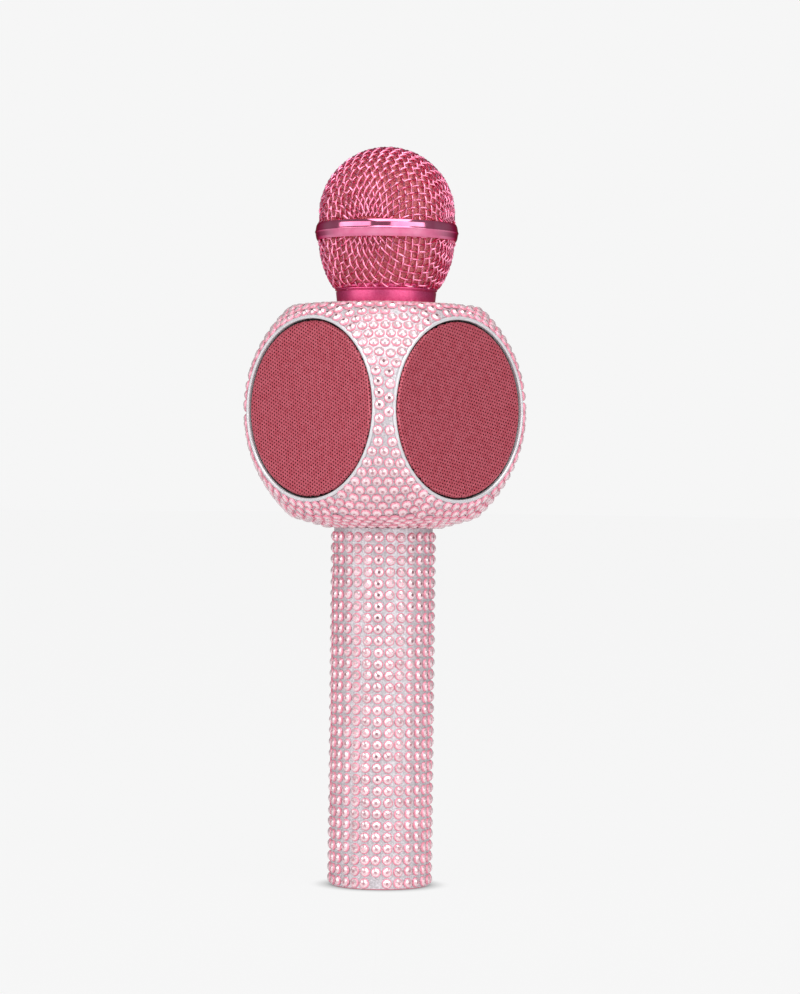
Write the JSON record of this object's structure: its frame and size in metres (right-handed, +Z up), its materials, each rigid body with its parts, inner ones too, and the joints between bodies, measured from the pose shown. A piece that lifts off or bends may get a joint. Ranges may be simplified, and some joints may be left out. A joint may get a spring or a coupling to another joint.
{
  "type": "karaoke microphone",
  "caption": "Handheld karaoke microphone: stone-covered tubular handle with side controls, ball-shaped speaker head with round grilles, screw-on wire-mesh windscreen",
  "frame": {"origin": "centre of the flat base that the microphone stands on", "axes": "+Z runs up the handle to the windscreen, -Y faces out of the control panel, +X and -X face out of the two driven loudspeakers"},
  "size_m": [0.0774, 0.0774, 0.265],
  "materials": {
    "glued_stones": "faceted acrylic stones on silver foil",
    "pink_plated_wire": "plated and lacquered pink, woven",
    "pink_plated_ring": "plated and lacquered satin pink",
    "pink_foam": "open-cell dyed foam",
    "pink_grille_mesh": "fine perforated steel, lacquered pink",
    "silver_bezel": "moulded, vacuum-plated pale silver",
    "pink_moulding": "injection moulded ABS, semi-gloss",
    "panel_moulding": "injection moulded ABS, lacquered",
    "key_moulding": "injection moulded ABS, vacuum-plated silver",
    "clear_lens": "clear moulded light guide",
    "black_moulding": "injection moulded, fine matt",
    "circuit_board": "glass-epoxy board with solder mask",
    "cell_sleeve": "shrink sleeve over a steel can",
    "nickel_plate": "drawn or pressed, nickel plated",
    "screw_steel": "cold-headed, zinc plated",
    "black_rubber": "moulded",
    "basket_steel": "pressed steel, powder coated",
    "radiator_moulding": "injection moulded",
    "radiator_steel": "pressed steel with a tuning weight, black",
    "cone_paper": "pressed paper pulp, coated",
    "ferrite": "sintered ferrite between steel plates",
    "black_felt": "pressed polyester felt",
    "lead_sleeve": "flexible insulated lead"
  },
  "bodies": {
    "housing": {"handle_stone_wrap": "glued_stones", "head_stone_skin": "glued_stones", "grille_right": "pink_grille_mesh", "grille_back": "pink_grille_mesh", "grille_left": "pink_grille_mesh", "grille_front": "pink_grille_mesh", "bezel_right": "silver_bezel", "bezel_back": "silver_bezel", "bezel_left": "silver_bezel", "bezel_front": "silver_bezel", "head_upper_shell": "pink_moulding", "head_lower_shell": "pink_moulding", "handle_tube": "pink_moulding", "end_cap": "pink_moulding", "neck": "pink_moulding", "control_panel": "panel_moulding", "indicator_lens": "clear_lens", "chassis": "black_moulding", "capsule_cradle": "black_moulding", "headphone_jack": "black_moulding", "memory_card_socket": "black_moulding", "tact_switches": "black_moulding", "board_parts": "black_moulding", "main_board": "circuit_board", "battery_cell": "cell_sleeve", "charging_port": "nickel_plate", "microphone_capsule": "nickel_plate", "end_cap_screws": "screw_steel", "head_screws": "screw_steel", "neck_screws": "screw_steel", "capsule_gasket": "black_rubber", "speaker_surround_right": "black_rubber", "speaker_surround_left": "black_rubber", "radiator_surround_front": "black_rubber", "radiator_surround_back": "black_rubber", "speaker_basket_right": "basket_steel", "speaker_basket_left": "basket_steel", "radiator_frame_front": "radiator_moulding", "radiator_frame_back": "radiator_moulding", "speaker_magnet_right": "ferrite", "speaker_magnet_left": "ferrite", "felt_screens": "black_felt", "capsule_lead": "lead_sleeve", "speaker_lead_right": "lead_sleeve", "speaker_lead_left": "lead_sleeve"},
    "foam": {"foam_liner": "pink_foam"},
    "windscreen": {"windscreen_dome": "pink_plated_wire", "windscreen_cup": "pink_plated_wire", "windscreen_band": "pink_plated_ring", "windscreen_collar": "pink_plated_ring"},
    "play_key": {"play_button": "key_moulding"},
    "mode_key": {"mode_button": "key_moulding"},
    "power_key": {"power_button": "key_moulding"},
    "music_volume_key": {"music_volume_rocker": "key_moulding"},
    "voice_volume_key": {"voice_volume_rocker": "key_moulding"},
    "echo_key": {"echo_rocker": "key_moulding"},
    "right_cone": {"speaker_cone_right": "cone_paper"},
    "left_cone": {"speaker_cone_left": "cone_paper"},
    "front_radiator": {"radiator_plate_front": "radiator_steel"},
    "back_radiator": {"radiator_plate_back": "radiator_steel"}
  },
  "joints": [
    {"name": "windscreen_lift", "type": "slide", "parent": "housing", "child": "foam", "axis": [0, 0, 1], "range_m": [0, 0.0045]},
    {"name": "windscreen_turn", "type": "hinge", "parent": "foam", "child": "windscreen", "pos_m": [0, 0, 0.21], "axis": [0, 0, 1], "range_deg": [0, 1080]},
    {"name": "play_press", "type": "slide", "parent": "housing", "child": "play_key", "axis": [0, 1, 0], "range_m": [0, 0.0006], "stiffness_N_per_m": 300},
    {"name": "mode_press", "type": "slide", "parent": "housing", "child": "mode_key", "axis": [0, 1, 0], "range_m": [0, 0.0006], "stiffness_N_per_m": 300},
    {"name": "power_press", "type": "slide", "parent": "housing", "child": "power_key", "axis": [0, 1, 0], "range_m": [0, 0.0006], "stiffness_N_per_m": 300},
    {"name": "music_volume_rock", "type": "hinge", "parent": "housing", "child": "music_volume_key", "pos_m": [0, -0.0149, 0.093], "axis": [1, 0, 0], "range_deg": [-3.5, 3.5], "stiffness_Nm_per_rad": 0.15},
    {"name": "voice_volume_rock", "type": "hinge", "parent": "housing", "child": "voice_volume_key", "pos_m": [0, -0.0149, 0.074], "axis": [1, 0, 0], "range_deg": [-3.5, 3.5], "stiffness_Nm_per_rad": 0.15},
    {"name": "echo_rock", "type": "hinge", "parent": "housing", "child": "echo_key", "pos_m": [0, -0.0149, 0.055], "axis": [1, 0, 0], "range_deg": [-3.5, 3.5], "stiffness_Nm_per_rad": 0.15},
    {"name": "right_cone_excursion", "type": "slide", "parent": "housing", "child": "right_cone", "axis": [1, 0, 0], "range_m": [-0.0015, 0.0015], "stiffness_N_per_m": 1000, "deforming": ["speaker_surround_right"]},
    {"name": "left_cone_excursion", "type": "slide", "parent": "housing", "child": "left_cone", "axis": [-1, 0, 0], "range_m": [-0.0015, 0.0015], "stiffness_N_per_m": 1000, "deforming": ["speaker_surround_left"]},
    {"name": "front_radiator_excursion", "type": "slide", "parent": "housing", "child": "front_radiator", "axis": [0, -1, 0], "range_m": [-0.0015, 0.0015], "stiffness_N_per_m": 1000, "deforming": ["radiator_surround_front"]},
    {"name": "back_radiator_excursion", "type": "slide", "parent": "housing", "child": "back_radiator", "axis": [0, 1, 0], "range_m": [-0.0015, 0.0015], "stiffness_N_per_m": 1000, "deforming": ["radiator_surround_back"]}
  ],
  "couplings": [
    {"joint": "windscreen_lift", "follows": "windscreen_turn", "m_per_rad": 0.00023873}
  ]
}
